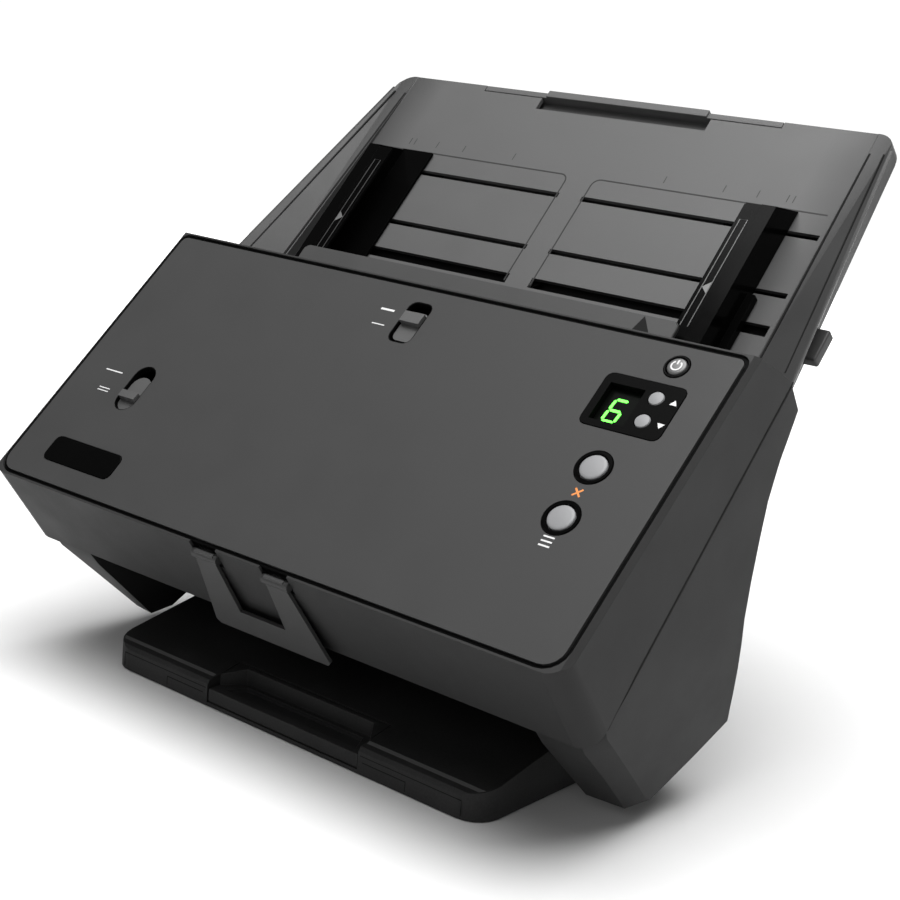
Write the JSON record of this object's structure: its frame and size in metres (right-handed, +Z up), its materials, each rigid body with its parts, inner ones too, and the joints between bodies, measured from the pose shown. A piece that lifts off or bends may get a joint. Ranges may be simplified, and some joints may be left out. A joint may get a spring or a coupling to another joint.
{
  "type": "sheet fed document scanner",
  "caption": "Desktop sheet fed document scanner with a hinged lid, sliding paper guides, pull-out chute and output tray, feed rollers and a gear train",
  "frame": {"origin": "middle of the footprint, on the desk", "axes": "+X to the object's right, -Y out of its front, +Z up"},
  "size_m": [0.318, 0.2432, 0.2661],
  "materials": {
    "graphite": "fine texture",
    "charcoal": "fine texture",
    "smoke": "satin",
    "black": "satin",
    "gloss_black": "glossy",
    "keycap": "satin",
    "switch": "satin",
    "display": "glossy",
    "roller_rubber": "matte",
    "foot_rubber": "matte",
    "acetal": "satin",
    "steel": "zinc plated",
    "board": "solder mask",
    "scan_glass": "clear",
    "sensor": "matte"
  },
  "bodies": {
    "base": {"base_chassis": "charcoal", "left_cheek": "graphite", "right_cheek": "graphite", "base_pedestal": "charcoal", "power_socket": "black", "usb_socket": "steel", "main_circuit_board": "board", "rubber_foot_front_left": "foot_rubber", "rubber_foot_front_right": "foot_rubber", "rubber_foot_rear_left": "foot_rubber", "rubber_foot_rear_right": "foot_rubber", "rear_cover": "graphite", "lower_guide_plate": "charcoal", "lower_scan_glass": "scan_glass", "lower_scan_module": "sensor", "hinge_bracket_left": "steel", "hinge_bracket_right": "steel", "drive_motor": "steel", "feed_chute": "graphite", "chute_back_cover": "charcoal", "output_tray": "black"},
    "lid": {"lid_shell": "graphite", "front_panel": "smoke", "panel_seam_trim": "black", "display_bezel": "black", "segment_display": "display", "badge_plate": "gloss_black", "power_button_ring": "gloss_black", "cancel_button_ring": "gloss_black", "scan_button_ring": "gloss_black", "control_board": "board", "lid_inner_guide": "charcoal", "upper_scan_module": "sensor", "upper_scan_glass": "scan_glass"},
    "feed_roller_body": {"feed_roller": "roller_rubber", "feed_gear": "acetal"},
    "drive_roller_body": {"drive_roller": "roller_rubber", "drive_gear": "acetal"},
    "exit_roller_body": {"exit_roller": "roller_rubber", "exit_gear": "acetal"},
    "upper_idler": {"upper_idler_gear": "acetal"},
    "lower_idler": {"lower_idler_gear": "acetal"},
    "pinion": {"motor_pinion": "acetal"},
    "separation_roller_body": {"separation_roller": "roller_rubber"},
    "drive_pinch_body": {"drive_pinch_roller": "roller_rubber"},
    "exit_pinch_body": {"exit_pinch_roller": "roller_rubber"},
    "flap": {"paper_stop_flap": "charcoal"},
    "mode_switch": {"mode_switch_knob": "switch"},
    "thickness_switch": {"thickness_switch_knob": "switch"},
    "left_guide": {"left_paper_guide": "gloss_black"},
    "right_guide": {"right_paper_guide": "gloss_black"},
    "guide_gear": {"guide_pinion": "black"},
    "extension": {"chute_extension": "graphite"},
    "latch": {"cover_release_latch": "charcoal"},
    "tray_drawer": {"tray_extension": "black"},
    "power_key": {"power_button": "keycap"},
    "up_key": {"up_button": "keycap"},
    "down_key": {"down_button": "keycap"},
    "cancel_key": {"cancel_button": "keycap"},
    "scan_key": {"scan_button": "keycap"}
  },
  "joints": [
    {"name": "lid_hinge", "type": "hinge", "parent": "base", "child": "lid", "pos_m": [0, -0.09337, 0.052], "axis": [1, 0, 0], "range_deg": [0, 60]},
    {"name": "drive_roller_spin", "type": "hinge", "parent": "base", "child": "drive_roller_body", "pos_m": [0, -0.01248, 0.10909], "axis": [1, 0, 0], "continuous": true},
    {"name": "feed_roller_spin", "type": "hinge", "parent": "base", "child": "feed_roller_body", "pos_m": [0, 0.01167, 0.13445], "axis": [1, 0, 0], "continuous": true},
    {"name": "exit_roller_spin", "type": "hinge", "parent": "base", "child": "exit_roller_body", "pos_m": [0, -0.04448, 0.07331], "axis": [1, 0, 0], "continuous": true},
    {"name": "upper_idler_spin", "type": "hinge", "parent": "base", "child": "upper_idler", "pos_m": [0, 0.00343, 0.11901], "axis": [1, 0, 0], "continuous": true},
    {"name": "lower_idler_spin", "type": "hinge", "parent": "base", "child": "lower_idler", "pos_m": [0, -0.02573, 0.08789], "axis": [1, 0, 0], "continuous": true},
    {"name": "motor_pinion_spin", "type": "hinge", "parent": "base", "child": "pinion", "pos_m": [0, -0.00989, 0.07372], "axis": [1, 0, 0], "continuous": true},
    {"name": "separation_roller_spin", "type": "hinge", "parent": "lid", "child": "separation_roller_body", "pos_m": [0, -0.00145, 0.14618], "axis": [1, 0, 0], "continuous": true},
    {"name": "drive_pinch_spin", "type": "hinge", "parent": "lid", "child": "drive_pinch_body", "pos_m": [0, -0.02255, 0.11809], "axis": [1, 0, 0], "continuous": true},
    {"name": "exit_pinch_spin", "type": "hinge", "parent": "lid", "child": "exit_pinch_body", "pos_m": [0, -0.05454, 0.08231], "axis": [1, 0, 0], "continuous": true},
    {"name": "paper_stop_hinge", "type": "hinge", "parent": "lid", "child": "flap", "pos_m": [0, -0.11867, 0.0798], "axis": [-1, 0, 0], "range_deg": [0, 50]},
    {"name": "mode_switch_slide", "type": "slide", "parent": "lid", "child": "mode_switch", "axis": [0, 0.7266, 0.6871], "range_m": [0, 0.0045]},
    {"name": "thickness_switch_slide", "type": "slide", "parent": "lid", "child": "thickness_switch", "axis": [0, 0.7266, 0.6871], "range_m": [0, 0.0035]},
    {"name": "right_guide_slide", "type": "slide", "parent": "base", "child": "right_guide", "axis": [-1, 0, 0], "range_m": [0, 0.08]},
    {"name": "left_guide_slide", "type": "slide", "parent": "base", "child": "left_guide", "axis": [1, 0, 0], "range_m": [0, 0.08]},
    {"name": "guide_pinion_spin", "type": "hinge", "parent": "base", "child": "guide_gear", "pos_m": [0, 0.047, 0.18267], "axis": [0, -0.7455, 0.6665], "range_deg": [0, 510]},
    {"name": "chute_extension_slide", "type": "slide", "parent": "base", "child": "extension", "axis": [0, 0.6665, 0.7455], "range_m": [0, 0.075]},
    {"name": "tray_extension_slide", "type": "slide", "parent": "base", "child": "tray_drawer", "axis": [0, -1, 0], "range_m": [0, 0.06]},
    {"name": "release_latch_press", "type": "slide", "parent": "base", "child": "latch", "axis": [-1, 0, 0], "range_m": [0, 0.0015], "stiffness_N_per_m": 500, "springref_m": -0.001},
    {"name": "power_button_press", "type": "slide", "parent": "lid", "child": "power_key", "axis": [0, 0.6871, -0.7266], "range_m": [0, 0.001], "stiffness_N_per_m": 400, "springref_m": -0.001},
    {"name": "up_button_press", "type": "slide", "parent": "lid", "child": "up_key", "axis": [0, 0.6871, -0.7266], "range_m": [0, 0.001], "stiffness_N_per_m": 400, "springref_m": -0.001},
    {"name": "down_button_press", "type": "slide", "parent": "lid", "child": "down_key", "axis": [0, 0.6871, -0.7266], "range_m": [0, 0.001], "stiffness_N_per_m": 400, "springref_m": -0.001},
    {"name": "cancel_button_press", "type": "slide", "parent": "lid", "child": "cancel_key", "axis": [0, 0.6871, -0.7266], "range_m": [0, 0.001], "stiffness_N_per_m": 400, "springref_m": -0.001},
    {"name": "scan_button_press", "type": "slide", "parent": "lid", "child": "scan_key", "axis": [0, 0.6871, -0.7266], "range_m": [0, 0.001], "stiffness_N_per_m": 400, "springref_m": -0.001}
  ],
  "couplings": [
    {"joint": "feed_roller_spin", "follows": "drive_roller_spin", "ratio": 1.1429},
    {"joint": "exit_roller_spin", "follows": "drive_roller_spin", "ratio": 1.1429},
    {"joint": "upper_idler_spin", "follows": "drive_roller_spin", "ratio": -1.1429},
    {"joint": "lower_idler_spin", "follows": "drive_roller_spin", "ratio": -0.66667},
    {"joint": "motor_pinion_spin", "follows": "drive_roller_spin", "ratio": 1.6},
    {"joint": "drive_pinch_spin", "follows": "drive_roller_spin", "ratio": -1.6},
    {"joint": "exit_pinch_spin", "follows": "drive_roller_spin", "ratio": -1.8286},
    {"joint": "left_guide_slide", "follows": "right_guide_slide", "ratio": 1},
    {"joint": "guide_pinion_spin", "follows": "right_guide_slide", "rad_per_m": 111.11}
  ]
}
